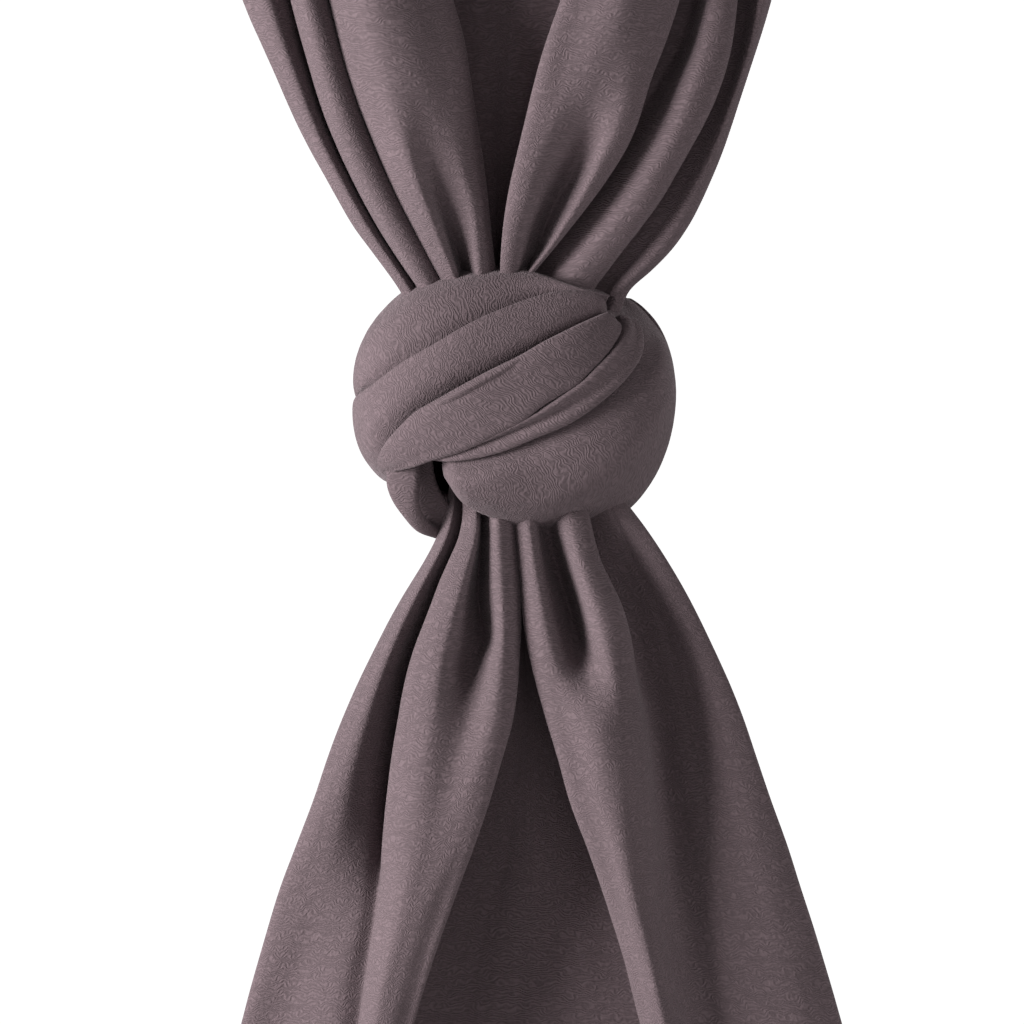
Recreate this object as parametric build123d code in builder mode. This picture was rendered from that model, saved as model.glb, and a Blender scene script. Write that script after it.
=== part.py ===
from build123d import *
import math
import os

# Baby wrap sling: one long cloth panel folded in half twice, hung over a 25 mm
# rod and tied once into a large overhand knot.  Millimetres, +Z up, +X to the
# right seen from the front, front of the object faces -Y.  The origin is the
# axis of the rod that the top fold lies over.

# ---- driving dimensions -------------------------------------------------
rod_r = 12.5            # radius of the rod the fold rests on
layer_t = 1.4           # one pass of doubled cloth over the rod
layer_gap = 0.25        # air between the two passes
fold_x0, fold_x1 = -168.0, 162.0     # ends of the top fold along the rod
drape_in = rod_r + 2 * layer_t + layer_gap + 0.45   # drape inner face beside the fold
neck_z = -262.0         # axis that the knot sways about
neck_r = 57.0           # round lower end of the gathered neck
neck_depth = 24.0       # half depth of the gathered neck
gap = 0.5               # clearance between bodies
knot_z = -350.0
knot_a, knot_c = 80.5, 63.0   # half width, and radius about the knot's long axis
core_k = 0.70           # hollow inside the outer turns relative to the knot
core_r = 29.5           # core radius, clear of the neck's round end
band_tilt = 27.0        # slope of the diagonal front bands, degrees
throat_z = -408.0       # axis that the tails swing about
throat_y = 14.0
throat_r = 9.0
tail_end = -840.0       # lower edge of the tails
hem_h = 12.0            # height of a turned end hem
hem_t = 3.2             # thickness of a turned end hem
label_w, label_h, label_t = 24.0, 36.0, 0.8
label_x = 120.0

os.makedirs("parts", exist_ok=True)

# ---- outlines -----------------------------------------------------------
# front outlines of the upper drape, x at height z, from the fold to the neck
upper_left = [(-168, 0), (-160, -40), (-150, -95), (-135.5, -150), (-118.5, -188),
              (-101, -227), (-80, -264)]
upper_right = [(162, 0), (154, -40), (142, -95), (128, -150), (111.5, -202),
               (96, -245), (86.5, -262)]
# front outlines of the tails, x at height z
tail_left = [(-34, -400), (-37.5, -419), (-49.5, -438), (-68.5, -472), (-88, -515),
             (-109, -575), (-134.5, -656), (-158, -750), (-178, -841)]
tail_right = [(52, -400), (62, -410), (72, -424), (91.5, -457), (108.5, -494),
              (127.5, -550), (153.5, -626), (163, -660), (186, -750), (208, -841)]


def prism(points, plane, reach):
    """Closed outline in a plane, pushed out to both sides."""
    with BuildPart() as body:
        with BuildSketch(plane):
            with BuildLine():
                Polyline(*points, close=True)
            make_face()
        extrude(amount=reach, both=True)
    return body.part


# ---- top fold: two passes of cloth over the rod --------------------------
def saddle(r_in, r_out, x0, x1):
    with BuildPart() as body:
        with BuildSketch(Plane.YZ.offset(x0)):
            Circle(r_out)
            Circle(r_in, mode=Mode.SUBTRACT)
            with Locations((0, -r_out)):
                Rectangle(4 * r_out, 2 * r_out, mode=Mode.SUBTRACT)
        extrude(amount=x1 - x0)
    return body.part


inner_pass = saddle(rod_r, rod_r + layer_t, fold_x0 + 6, fold_x1 - 6)
outer_pass = saddle(rod_r + layer_t + layer_gap, rod_r + 2 * layer_t + layer_gap, fold_x0, fold_x1)
with BuildPart() as inner_top_fold:
    add(inner_pass)
with BuildPart() as outer_top_fold:
    add(outer_pass)

# ---- upper drape ---------------------------------------------------------
# side profile of the front half (negative y); the back half mirrors it
front_in = [(-drape_in, -0.6), (-16.4, -60), (-11.5, -150), (-6, -225), (-2.0, -262), (-1.0, -322)]
front_out = [(-23, -0.6), (-36, -60), (-50, -150), (-48, -200), (-neck_depth - 4, -246),
             (-neck_depth, -252), (-neck_depth, -322)]
front_profile = front_in + front_out[::-1]
back_profile = [(-y, z) for y, z in front_profile]

# the lower end of the neck is round about the sway axis, and is cut back
# beside it so that the knot's shoulders pass
cut_deg = 8.0
cut_reach = 160.0
shoulder_r = [(neck_r * math.cos(math.radians(cut_deg)), neck_z - neck_r * math.sin(math.radians(cut_deg))),
              (cut_reach, neck_z - cut_reach * math.sin(math.radians(cut_deg))),
              (cut_reach, neck_z - 140)]
neck_arc = [(neck_r * math.cos(math.radians(a)), neck_z + neck_r * math.sin(math.radians(a)))
            for a in range(-8, -173, -6)]
neck_arc.append((-neck_r * math.cos(math.radians(8)), neck_z - neck_r * math.sin(math.radians(8))))

upper_face = upper_left[:-1] + [(-80, -264 + 0.5)] + neck_arc[::-1] + upper_right[::-1]
centre_left = [(-31.5, 0), (-31.5, -150), (-21, -198), (-14, -230), (-10.5, -262), (-9, -330)]
centre_right = [(23.5, 0), (23.5, -150), (10, -198), (0, -230), (-6, -262), (-8.4, -330)]
left_half = [(-300, 1)] + [(-300, -340)] + centre_left[::-1] + [(-31.5, 1)]
right_half = [(300, 1)] + [(300, -340)] + centre_right[::-1] + [(23.5, 1)]

face_prism = prism(upper_face, Plane.XZ, 90)
front_slice = prism(front_profile, Plane.YZ, 260)
back_slice = prism(back_profile, Plane.YZ, 260)
left_prism = prism(left_half, Plane.XZ, 95)
right_prism = prism(right_half, Plane.XZ, 95)
with BuildPart() as upper_left_drape:
    add(front_slice)
    add(face_prism, mode=Mode.INTERSECT)
    add(left_prism, mode=Mode.INTERSECT)
with BuildPart() as upper_right_drape:
    add(front_slice)
    add(face_prism, mode=Mode.INTERSECT)
    add(right_prism, mode=Mode.INTERSECT)
with BuildPart() as upper_back_drape:
    add(back_slice)
    add(face_prism, mode=Mode.INTERSECT)

# ---- knot ----------------------------------------------------------------
def ellipsoid(half_width, radius):
    """Egg-shaped solid turned about the knot's long axis."""
    with BuildPart() as body:
        with BuildSketch(Plane.XZ.offset(0)):
            with Locations((0, knot_z)):
                Ellipse(half_width, radius)
            with Locations((0, knot_z - 100)):
                Rectangle(400, 200, mode=Mode.SUBTRACT)
        revolve(axis=Axis((0, 0, knot_z), (1, 0, 0)))
    return body.part


knot_outer = ellipsoid(knot_a, knot_c)
knot_hollow = ellipsoid(core_k * knot_a, core_k * knot_c)
knot_inner = ellipsoid(core_k * knot_a - 1, core_r)
with BuildPart() as knot_shell:
    add(knot_outer)
    add(knot_hollow, mode=Mode.SUBTRACT)

# sockets: the neck's round end from above, the two tail heads from below
with BuildPart() as sockets:
    with BuildSketch(Plane.XZ):
        with Locations((0, neck_z)):
            Circle(neck_r + gap)
    extrude(amount=neck_depth + gap, both=True)
    for side in (-1, 1):
        with BuildSketch(Plane.YZ):
            with Locations((side * throat_y, throat_z)):
                Circle(throat_r + gap)
        extrude(amount=70, both=True)
    with Locations((0, 0, throat_z + 3.0 - 40)):
        Box(200, 120, 80)

tilt = math.radians(band_tilt)


def slab(lo, hi, front=True):
    """Everything between two parallel tilted planes on the front or back side."""
    ux, uz = math.cos(tilt), math.sin(tilt)
    nx, nz = -math.sin(tilt), math.cos(tilt)
    if not front:
        uz, nx = -uz, -nx
    pts = []
    for along, across in ((-140, lo), (140, lo), (140, hi), (-140, hi)):
        pts.append((along * ux + across * nx, knot_z + along * uz + across * nz))
    body = prism(pts, Plane.XZ, 60)
    half = Box(400, 60, 400).moved(Location((0, -30.3 if front else 30.3, knot_z)))
    return body & half


def wrap(lo, hi, front=True):
    return (knot_shell.part & slab(lo, hi, front)) - sockets.part


upper_left_lobe = wrap(40.2, 120)
top_band = wrap(18.2, 39.8)
middle_band = wrap(-8.8, 17.8)
lower_band = wrap(-21.2, -9.2)
lower_right_lobe = wrap(-120, -21.6)
back_upper = wrap(22.2, 120, False)
back_middle = wrap(-19.8, 21.8, False)
back_lower = wrap(-120, -20.2, False)

with BuildPart() as knot_core:
    add(knot_inner)
with BuildPart() as knot_upper_left_lobe:
    add(upper_left_lobe)
with BuildPart() as knot_top_band:
    add(top_band)
with BuildPart() as knot_middle_band:
    add(middle_band)
with BuildPart() as knot_lower_band:
    add(lower_band)

# the tuck loop hangs below the left end of the bands, in front of the lobe
with BuildPart() as knot_tuck_loop:
    with BuildSketch(Plane.XZ):
        with BuildLine():
            Spline((-63.0, -399), (-61.5, -403), (-58, -406), (-55, -409), (-51.5, -411.5), (-47, -413.5),
                   (-42.5, -413.5), (-41.5, -408), (-42, -401), (-48, -397.5), (-56, -396.5), periodic=True)
        make_face()
    extrude(amount=44)
    with Locations((-50, -9, -400)):
        Box(60, 18, 60, mode=Mode.SUBTRACT)
tuck_room = prism([(-70, -391), (-37.2, -391), (-37.2, -425), (-70, -425)], Plane.XZ, 60)
tuck_front = Box(200, 42.8, 200).moved(Location((-50, -17.2 - 21.4, -400)))
tuck_space = tuck_room & tuck_front
with BuildPart() as knot_lower_right_lobe:
    add(lower_right_lobe)
    add(tuck_space, mode=Mode.SUBTRACT)
with BuildPart() as knot_back_upper_wrap:
    add(back_upper)
with BuildPart() as knot_back_middle_wrap:
    add(back_middle)
with BuildPart() as knot_back_lower_wrap:
    add(back_lower)

# ---- tails ---------------------------------------------------------------
drape_end = tail_end + hem_h + 0.3
# side profile of the front pair of layers: outer layer in front, inner behind
tail_in = [(-throat_y + throat_r, throat_z), (-6, -450), (-8, -520), (-10, -660), (-10, drape_end)]
tail_mid = [(-15, -450), (-21, -520), (-25, -660), (-26, drape_end)]
tail_out = [(-throat_y - throat_r, throat_z), (-29, -450), (-43, -520), (-55, -660), (-56, drape_end)]
outer_profile = ([(-throat_y, throat_z - throat_r - 0.3)] + tail_mid + tail_out[::-1]
                 + [(-throat_y - throat_r, throat_z)])
tail_face = tail_left + tail_right[::-1]
head_x0, head_x1 = -34.0, 52.0


def head(side):
    with BuildPart() as body:
        with BuildSketch(Plane.YZ.offset(head_x0)):
            with Locations((side * throat_y, throat_z)):
                Circle(throat_r)
        extrude(amount=head_x1 - head_x0)
    return body.part


outer_slice = prism([(-throat_y - throat_r, throat_z)] + tail_out[1:] + tail_mid[::-1]
                    + [(-throat_y - 0.2, throat_z)], Plane.YZ, 260)
inner_slice = prism([(-throat_y + 0.2, throat_z)] + [(y + 0.5, z) for y, z in tail_mid]
                    + tail_in[::-1], Plane.YZ, 260)
back_tail_slice = prism([(throat_y - throat_r, throat_z), (6, -450), (8, -520), (10, -660),
                         (12, tail_end + 30), (46, tail_end + 30), (44, -660), (36, -520),
                         (27, -450), (throat_y + throat_r, throat_z)], Plane.YZ, 260)
tail_prism = prism(tail_face, Plane.XZ, 95)
valley_left = [(0, -395), (3, -455), (-4, -507), (-20, -570), (-36, -627), (-51, -661),
               (-60, -760), (-64, -845)]
valley_right = [(0.6, -395), (3.6, -455), (12, -505), (30, -561), (45, -606), (63, -661),
                (78, -760), (86, -845)]
left_of_valley = prism([(-300, -380)] + [(0, -380)] + valley_left + [(-300, -845)], Plane.XZ, 95)
right_of_valley = prism([(300, -380)] + [(0.6, -380)] + valley_right + [(300, -845)], Plane.XZ, 95)

# the round heads that the tails swing on, upper halves only
above = Box(400, 200, 60).moved(Location((0, 0, throat_z + 30)))
front_head = head(-1) & above
back_head = head(1) & above
front_part = Box(400, 40, 60).moved(Location((0, -throat_y - 0.2 - 20, throat_z)))
rear_part = Box(400, 40, 60).moved(Location((0, -throat_y + 0.2 + 20, throat_z)))
outer_head = front_head & front_part
inner_head = front_head & rear_part

outer_pair = (outer_slice & tail_prism) + outer_head
inner_layer = (inner_slice & tail_prism) + inner_head
back_layers = (back_tail_slice & tail_prism) + back_head
outer_left = outer_pair & left_of_valley
outer_right = outer_pair & right_of_valley

with BuildPart() as front_outer_tail_left:
    add(outer_left)
with BuildPart() as front_outer_tail_right:
    add(outer_right)
with BuildPart() as front_inner_tail:
    add(inner_layer)
# back tail: the middle of the wrap, folded up on itself at the bottom
with BuildPart() as back_tail:
    add(back_layers)
with BuildPart() as back_tail_bottom_fold:
    with BuildSketch(Plane.YZ):
        with BuildLine():
            Polyline((12, tail_end + 20), (12, tail_end + 29.7), (46, tail_end + 29.7), (46, tail_end + 20))
            ThreePointArc((46, tail_end + 20), (29, tail_end + 3), (12, tail_end + 20))
        make_face()
    extrude(amount=260, both=True)
    add(tail_prism, mode=Mode.INTERSECT)

# ---- hems, stitching, marker and label ------------------------------------
z_hem = tail_end + hem_h / 2
left_end = -177.0
right_end = 206.5


def strip(x0, x1, y0, y1, z0, z1):
    return Box(x1 - x0, y1 - y0, z1 - z0).moved(Location(((x0 + x1) / 2, (y0 + y1) / 2, (z0 + z1) / 2)))


hem_a = strip(left_end, right_end, -50, -50 + hem_t, tail_end, tail_end + hem_h)
hem_b = strip(left_end + 6, right_end - 6, -20, -20 + hem_t, tail_end, tail_end + hem_h)
seam_a = strip(left_end, right_end, -50.9, -50.1, tail_end + hem_h - 2.4, tail_end + hem_h - 1.6)
seam_b = strip(left_end + 6, right_end - 6, -20.9, -20.1, tail_end + hem_h - 2.4, tail_end + hem_h - 1.6)
with BuildPart() as front_outer_end_hem:
    add(hem_a)
with BuildPart() as front_inner_end_hem:
    add(hem_b)
with BuildPart() as front_outer_hem_stitching:
    add(seam_a)
with BuildPart() as front_inner_hem_stitching:
    add(seam_b)


def side_hem(edge, shift, y0, y1, z_top, z_bot):
    """Narrow turned hem running down beside one side edge of a tail."""
    pts = [(x, z) for x, z in edge if z_bot < z < z_top]

    def x_at(zq):
        for (xa, za), (xb, zb) in zip(edge, edge[1:]):
            if zb <= zq <= za:
                return xa + (xb - xa) * (zq - za) / (zb - za)
        return edge[-1][0]
    pts = [(x_at(z_top), z_top)] + pts + [(x_at(z_bot), z_bot)]
    a = [(x + shift, z) for x, z in pts]
    b = [(x + shift + (9 if shift > 0 else -9), z) for x, z in pts]
    body = prism(a + b[::-1], Plane.XZ, 95)
    return body & strip(-400, 400, y0, y1, -900, -400)


left_side = side_hem(tail_left, 3.0, -5.0, -3.0, -560, drape_end)
right_side = side_hem(tail_right, -3.0, -5.0, -3.0, -560, drape_end)
marker = strip(150, 162, 46.3, 47.1, tail_end + 22, tail_end + 40)
label_seam = strip(label_x - label_w / 2 + 1, label_x + label_w / 2 - 1, -51.0, -50.1,
                   tail_end + 2.0, tail_end + 2.8)
label = strip(label_x - label_w / 2, label_x + label_w / 2, -48.8, -48.8 + label_t,
              tail_end - 1.2 - label_h, tail_end - 1.2)
with BuildPart() as front_left_side_hem:
    add(left_side)
with BuildPart() as front_right_side_hem:
    add(right_side)
with BuildPart() as middle_marker:
    add(marker)
with BuildPart() as label_stitching:
    add(label_seam)
with BuildPart() as care_label:
    add(label)

finished = {
    "inner_top_fold": inner_top_fold,
    "outer_top_fold": outer_top_fold,
    "upper_left_drape": upper_left_drape,
    "upper_right_drape": upper_right_drape,
    "upper_back_drape": upper_back_drape,
    "knot_core": knot_core,
    "knot_upper_left_lobe": knot_upper_left_lobe,
    "knot_top_band": knot_top_band,
    "knot_middle_band": knot_middle_band,
    "knot_lower_band": knot_lower_band,
    "knot_lower_right_lobe": knot_lower_right_lobe,
    "knot_tuck_loop": knot_tuck_loop,
    "knot_back_upper_wrap": knot_back_upper_wrap,
    "knot_back_middle_wrap": knot_back_middle_wrap,
    "knot_back_lower_wrap": knot_back_lower_wrap,
    "front_outer_tail_left": front_outer_tail_left,
    "front_outer_tail_right": front_outer_tail_right,
    "front_inner_tail": front_inner_tail,
    "front_outer_end_hem": front_outer_end_hem,
    "front_inner_end_hem": front_inner_end_hem,
    "front_outer_hem_stitching": front_outer_hem_stitching,
    "front_inner_hem_stitching": front_inner_hem_stitching,
    "front_left_side_hem": front_left_side_hem,
    "front_right_side_hem": front_right_side_hem,
    "back_tail": back_tail,
    "back_tail_bottom_fold": back_tail_bottom_fold,
    "middle_marker": middle_marker,
    "label_stitching": label_stitching,
    "care_label": care_label,
}
for name, built in finished.items():
    built.part.label = name
    export_step(built.part, "parts/" + name + ".step")
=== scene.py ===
import bpy
import math
import numpy as np
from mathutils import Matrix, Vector


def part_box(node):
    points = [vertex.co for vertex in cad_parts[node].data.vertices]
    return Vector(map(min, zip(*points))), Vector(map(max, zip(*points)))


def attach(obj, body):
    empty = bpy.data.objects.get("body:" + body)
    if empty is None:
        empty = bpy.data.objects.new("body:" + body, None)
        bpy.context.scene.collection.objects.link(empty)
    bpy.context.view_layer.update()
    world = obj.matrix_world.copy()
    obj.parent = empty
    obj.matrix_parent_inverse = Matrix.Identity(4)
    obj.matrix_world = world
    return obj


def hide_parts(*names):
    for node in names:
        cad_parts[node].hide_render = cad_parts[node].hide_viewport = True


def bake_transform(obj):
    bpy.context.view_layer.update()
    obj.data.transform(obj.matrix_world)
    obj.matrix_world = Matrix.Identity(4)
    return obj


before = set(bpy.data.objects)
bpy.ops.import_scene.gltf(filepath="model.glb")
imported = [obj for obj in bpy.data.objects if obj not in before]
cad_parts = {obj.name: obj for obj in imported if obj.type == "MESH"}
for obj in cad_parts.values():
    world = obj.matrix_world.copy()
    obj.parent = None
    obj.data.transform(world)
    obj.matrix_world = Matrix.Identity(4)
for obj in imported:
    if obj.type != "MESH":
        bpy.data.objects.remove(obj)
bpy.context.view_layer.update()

# ---------------------------------------------------------------- helpers
# The drawing grid: 0.5 mm a unit, u to the right, v downwards, with the knot's
# middle at (515, 400).  All shapes are worked out in millimetres.
def gx(u):
    return (np.asarray(u, float) - 515.0) * 0.5


def gz(v):
    return -150.0 - np.asarray(v, float) * 0.5


def cubic(xs, ys, x):
    """Smooth curve through points at rising xs, straight past its ends. ys may be vectors."""
    xs = np.asarray(xs, float)
    ys = np.asarray(ys, float)
    x = np.atleast_1d(np.asarray(x, float))
    d = np.diff(ys, axis=0) / (np.diff(xs).reshape((-1,) + (1,) * (ys.ndim - 1)))
    h = np.diff(xs)
    m = np.zeros_like(ys)
    m[0], m[-1] = d[0], d[-1]
    for i in range(1, len(xs) - 1):
        m[i] = (d[i - 1] * h[i] + d[i] * h[i - 1]) / (h[i] + h[i - 1])
    i = np.clip(np.searchsorted(xs, x) - 1, 0, len(xs) - 2)
    hi = h[i]
    t = (x - xs[i]) / hi
    sh = (-1,) + (1,) * (ys.ndim - 1)
    tt = np.clip(t, 0, 1).reshape(sh)
    hh = hi.reshape(sh)
    p = ((2 * tt ** 3 - 3 * tt ** 2 + 1) * ys[i] + (tt ** 3 - 2 * tt ** 2 + tt) * hh * m[i]
         + (-2 * tt ** 3 + 3 * tt ** 2) * ys[i + 1] + (tt ** 3 - tt ** 2) * hh * m[i + 1])
    over = (t - np.clip(t, 0, 1)).reshape(sh) * hh
    return p + np.where(over < 0, over * m[0], over * m[-1])


def through(P, m):
    """Centripetal curve through control points P (rows, K, 3), m steps a span."""
    P = np.asarray(P, float)
    A = np.concatenate([2 * P[:, :1] - P[:, 1:2], P, 2 * P[:, -1:] - P[:, -2:-1]], axis=1)
    seg = np.maximum(np.linalg.norm(np.diff(A, axis=1), axis=2), 1e-6) ** 0.5
    t = np.concatenate([np.zeros((len(P), 1)), np.cumsum(seg, axis=1)], axis=1)
    out = []
    for k in range(P.shape[1] - 1):
        p0, p1, p2, p3 = A[:, k], A[:, k + 1], A[:, k + 2], A[:, k + 3]
        t0, t1, t2, t3 = (t[:, k + j][:, None] for j in range(4))
        n = m + (1 if k == P.shape[1] - 2 else 0)
        for j in range(n):
            s = t1 + (t2 - t1) * (j / m)
            a1 = (t1 - s) / (t1 - t0) * p0 + (s - t0) / (t1 - t0) * p1
            a2 = (t2 - s) / (t2 - t1) * p1 + (s - t1) / (t2 - t1) * p2
            a3 = (t3 - s) / (t3 - t2) * p2 + (s - t2) / (t3 - t2) * p3
            b1 = (t2 - s) / (t2 - t0) * a1 + (s - t0) / (t2 - t0) * a2
            b2 = (t3 - s) / (t3 - t1) * a2 + (s - t1) / (t3 - t1) * a3
            out.append((t2 - s) / (t2 - t1) * b1 + (s - t1) / (t2 - t1) * b2)
    return np.stack(out, axis=1)


def noise2(a, b, seed):
    """Smooth seeded noise of two coordinates, about -1 to 1."""
    rng = np.random.RandomState(seed)
    table = rng.rand(64, 64) * 2 - 1
    ia, ib = np.floor(a).astype(int), np.floor(b).astype(int)
    fa, fb = a - ia, b - ib
    fa, fb = fa * fa * (3 - 2 * fa), fb * fb * (3 - 2 * fb)
    g = lambda i, j: table[i % 64, j % 64]
    return ((g(ia, ib) * (1 - fa) + g(ia + 1, ib) * fa) * (1 - fb)
            + (g(ia, ib + 1) * (1 - fa) + g(ia + 1, ib + 1) * fa) * fb)


def grid_normals(P):
    du = np.gradient(P, axis=1)
    dv = np.gradient(P, axis=0)
    n = np.cross(du, dv)
    length = np.linalg.norm(n, axis=2, keepdims=True)
    return n / np.maximum(length, 1e-9)


def smooth_grid(P, rounds=1):
    for _ in range(rounds):
        Q = P.copy()
        Q[1:-1] += 0.25 * (P[2:] - 2 * P[1:-1] + P[:-2])
        Q[:, 1:-1] += 0.25 * (P[:, 2:] - 2 * P[:, 1:-1] + P[:, :-2])
        P = Q
    return P


def uv_of(P):
    """Arc lengths in metres, across and along, measured on the middle lines."""
    across = np.linalg.norm(np.diff(P, axis=1), axis=2).mean(axis=0)
    along = np.linalg.norm(np.diff(P, axis=0), axis=2).mean(axis=1)
    u = np.concatenate([[0], np.cumsum(across)]) / 1000
    v = np.concatenate([[0], np.cumsum(along)]) / 1000
    return np.stack(np.meshgrid(u, v), axis=2)


def new_mesh(name, verts, faces, uvs=None, normals=None):
    me = bpy.data.meshes.new(name)
    me.from_pydata([tuple(p) for p in verts], [], faces)
    me.update()
    me.polygons.foreach_set("use_smooth", [True] * len(me.polygons))
    if uvs is not None:
        layer = me.uv_layers.new(name="cloth")
        idx = np.empty(len(me.loops), dtype=np.int64)
        me.loops.foreach_get("vertex_index", idx)
        layer.data.foreach_set("uv", np.asarray(uvs)[idx].ravel().astype(np.float32))
    if normals is not None:
        me.normals_split_custom_set_from_vertices([tuple(n) for n in normals])
    ob = bpy.data.objects.new(name, me)
    bpy.context.scene.collection.objects.link(ob)
    return ob


def cloth(name, P, t=0.9, rows=None, rims=(True, True), normals=None, uv=None, taper=True):
    """Closed cloth of thickness t around the grid P (millimetres), or a band of its rows."""
    N = grid_normals(P) if normals is None else normals
    U = uv_of(P) if uv is None else uv
    if rows is not None:
        P, N, U = P[rows[0]:rows[1]], N[rows[0]:rows[1]], U[rows[0]:rows[1]]
    R, C = P.shape[:2]
    tt = np.full((R, C, 1), t) if np.isscalar(t) else np.asarray(t).reshape(1, -1, 1) * np.ones((R, 1, 1))
    top = (P + N * tt / 2).reshape(-1, 3)
    bot = (P - N * tt / 2).reshape(-1, 3)
    verts = np.concatenate([top, bot]) / 1000
    n = R * C
    i = np.arange(R - 1)[:, None] * C + np.arange(C - 1)[None, :]
    a = i.ravel()
    f1 = np.stack([a, a + 1, a + C + 1, a + C], axis=1)
    f2 = np.stack([a + n, a + C + n, a + C + 1 + n, a + 1 + n], axis=1)
    faces = [f1, f2]

    def rim(edge, flip):
        e = np.asarray(edge)
        q = np.stack([e[:-1], e[:-1] + n, e[1:] + n, e[1:]], axis=1)
        faces.append(q[:, ::-1] if flip else q)
    rim(np.arange(R) * C, True)
    rim(np.arange(R) * C + C - 1, False)
    if rims[0]:
        rim(np.arange(C), False)
    if rims[1]:
        rim((R - 1) * C + np.arange(C), True)
    # rims as drawn follow the sheet's own winding
    faces = np.concatenate(faces).tolist()
    uvs = np.concatenate([U.reshape(-1, 2)] * 2)
    ns = np.concatenate([N.reshape(-1, 3), -N.reshape(-1, 3)])
    return new_mesh(name, verts, faces, uvs, ns if rows is not None else None)


# ---------------------------------------------------------------- materials
def cloth_material(name, base, weave=1.0, warm=1.0):
    mat = bpy.data.materials.new(name)
    mat.use_nodes = True
    nt = mat.node_tree
    nd, lk = nt.nodes, nt.links
    nd.clear()
    out = nd.new("ShaderNodeOutputMaterial")
    bs = nd.new("ShaderNodeBsdfPrincipled")
    bs.inputs["Roughness"].default_value = 0.88
    bs.inputs["Specular IOR Level"].default_value = 0.22
    bs.inputs["Sheen Weight"].default_value = 0.12
    bs.inputs["Sheen Roughness"].default_value = 0.45
    bs.inputs["Sheen Tint"].default_value = (0.95, 0.82, 0.86, 1)
    tc = nd.new("ShaderNodeTexCoord")
    # crepe: fine ridges that wander like the lines of a fingerprint
    n1 = nd.new("ShaderNodeTexWave")
    n1.wave_type = "BANDS"
    n1.bands_direction = "Y"
    n1.wave_profile = "SIN"
    n1.inputs["Scale"].default_value = 195
    n1.inputs["Distortion"].default_value = 21
    n1.inputs["Detail"].default_value = 1.4
    n1.inputs["Detail Scale"].default_value = 0.85
    n1.inputs["Detail Roughness"].default_value = 0.55
    lk.new(tc.outputs["UV"], n1.inputs["Vector"])
    # threads of the weave
    m2 = nd.new("ShaderNodeMapping")
    m2.inputs["Scale"].default_value = (820, 520, 1)
    lk.new(tc.outputs["UV"], m2.inputs["Vector"])
    n2 = nd.new("ShaderNodeTexNoise")
    n2.inputs["Scale"].default_value = 1.0
    n2.inputs["Detail"].default_value = 1.5
    lk.new(m2.outputs["Vector"], n2.inputs["Vector"])
    mixh = nd.new("ShaderNodeMath"); mixh.operation = "MULTIPLY_ADD"
    mixh.inputs[1].default_value = 1.5
    lk.new(n2.outputs["Fac"], mixh.inputs[0])
    lk.new(n1.outputs["Fac"], mixh.inputs[2])
    bump = nd.new("ShaderNodeBump")
    bump.inputs["Strength"].default_value = 0.75 * weave
    bump.inputs["Distance"].default_value = 0.00028
    lk.new(mixh.outputs[0], bump.inputs["Height"])
    # slubs: long faint streaks of thicker yarn along the length
    m3 = nd.new("ShaderNodeMapping")
    m3.inputs["Scale"].default_value = (260, 9, 1)
    lk.new(tc.outputs["UV"], m3.inputs["Vector"])
    n3 = nd.new("ShaderNodeTexNoise")
    n3.inputs["Scale"].default_value = 1.0
    n3.inputs["Detail"].default_value = 3
    lk.new(m3.outputs["Vector"], n3.inputs["Vector"])
    # slow uneven dye
    n4 = nd.new("ShaderNodeTexNoise")
    n4.inputs["Scale"].default_value = 14
    n4.inputs["Detail"].default_value = 3
    lk.new(tc.outputs["UV"], n4.inputs["Vector"])
    # the crepe's colour follows the weave's own height: lighter on its ridges and darker in its hollows, a painted
    # shade and highlight of the weave relief
    r1 = nd.new("ShaderNodeMapRange")
    r1.inputs["From Min"].default_value = 0.3; r1.inputs["From Max"].default_value = 0.7
    r1.inputs["To Min"].default_value = 0.745; r1.inputs["To Max"].default_value = 1.225
    lk.new(mixh.outputs[0], r1.inputs["Value"])
    r1.inputs["From Min"].default_value = 0.5; r1.inputs["From Max"].default_value = 2.0
    r3 = nd.new("ShaderNodeMapRange")
    r3.inputs["From Min"].default_value = 0.3; r3.inputs["From Max"].default_value = 0.7
    r3.inputs["To Min"].default_value = 0.94; r3.inputs["To Max"].default_value = 1.06
    lk.new(n3.outputs["Fac"], r3.inputs["Value"])
    r4 = nd.new("ShaderNodeMapRange")
    r4.inputs["From Min"].default_value = 0.3; r4.inputs["From Max"].default_value = 0.7
    r4.inputs["To Min"].default_value = 0.93; r4.inputs["To Max"].default_value = 1.07
    lk.new(n4.outputs["Fac"], r4.inputs["Value"])
    k1 = nd.new("ShaderNodeMath"); k1.operation = "MULTIPLY"
    lk.new(r1.outputs[0], k1.inputs[0]); lk.new(r3.outputs[0], k1.inputs[1])
    k2 = nd.new("ShaderNodeMath"); k2.operation = "MULTIPLY"
    lk.new(k1.outputs[0], k2.inputs[0]); lk.new(r4.outputs[0], k2.inputs[1])
    vm = nd.new("ShaderNodeVectorMath"); vm.operation = "SCALE"
    vm.inputs[0].default_value = base
    lk.new(k2.outputs[0], vm.inputs["Scale"])
    lk.new(vm.outputs[0], bs.inputs["Base Color"])
    lk.new(bump.outputs["Normal"], bs.inputs["Normal"])
    lk.new(bs.outputs[0], out.inputs["Surface"])
    return mat


CLOTH = (0.103, 0.0742, 0.0815)
wrap_mat = cloth_material("wrap_cloth", CLOTH)
hem_mat = cloth_material("wrap_hem_cloth", (0.100, 0.0735, 0.080))
thread_mat = cloth_material("sewing_thread", (0.075, 0.054, 0.060), weave=0.4)
tape_mat = cloth_material("label_tape", (0.50, 0.485, 0.46), weave=0.45)


def dress(ob, mat):
    ob.data.materials.clear()
    ob.data.materials.append(mat)
    return ob


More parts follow.
